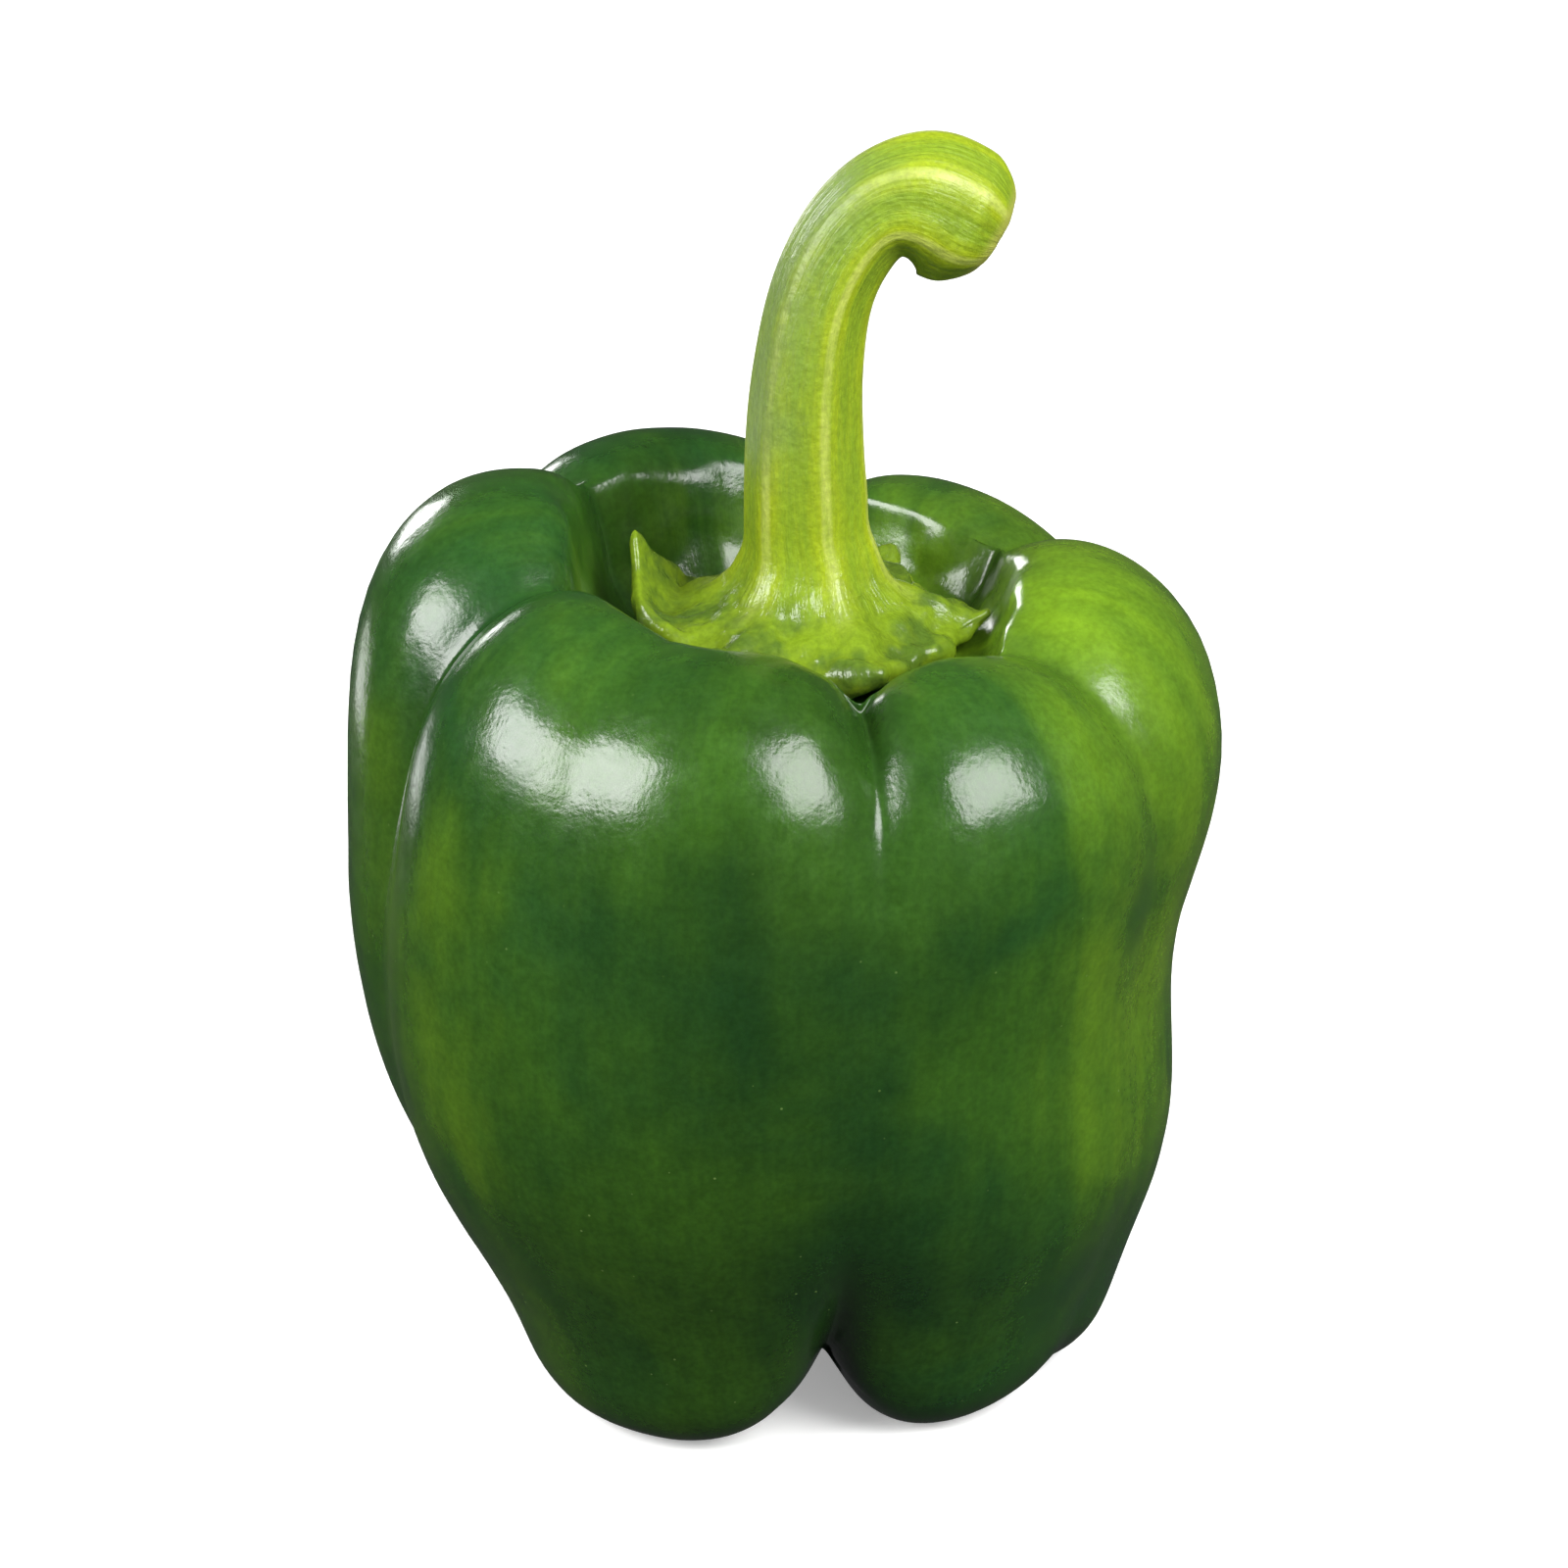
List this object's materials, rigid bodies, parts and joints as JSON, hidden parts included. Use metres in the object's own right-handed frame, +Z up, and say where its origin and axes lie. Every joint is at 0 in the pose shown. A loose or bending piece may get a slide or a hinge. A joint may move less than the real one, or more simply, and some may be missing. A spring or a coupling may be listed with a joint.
{
  "type": "green bell pepper",
  "caption": "Green bell pepper standing on its lobes, blocky fruit with furrows, calyx in a deep pit and a thick stem bent over to one side.",
  "frame": {"origin": "On the surface the pepper stands on, under the middle of its bounding box.", "axes": "+Z up, from the blossom end to the stem. -Y is the side the picture looks at, +X is to the right there, where the stem's end points."},
  "size_m": [0.0886, 0.0822, 0.1319],
  "materials": {
    "skin": "waxy, glossy green skin",
    "stem": "satin yellow-green, fibrous stalk"
  },
  "bodies": {
    "root": {"fruit": "skin", "stem_calyx": "stem"}
  },
  "joints": []
}
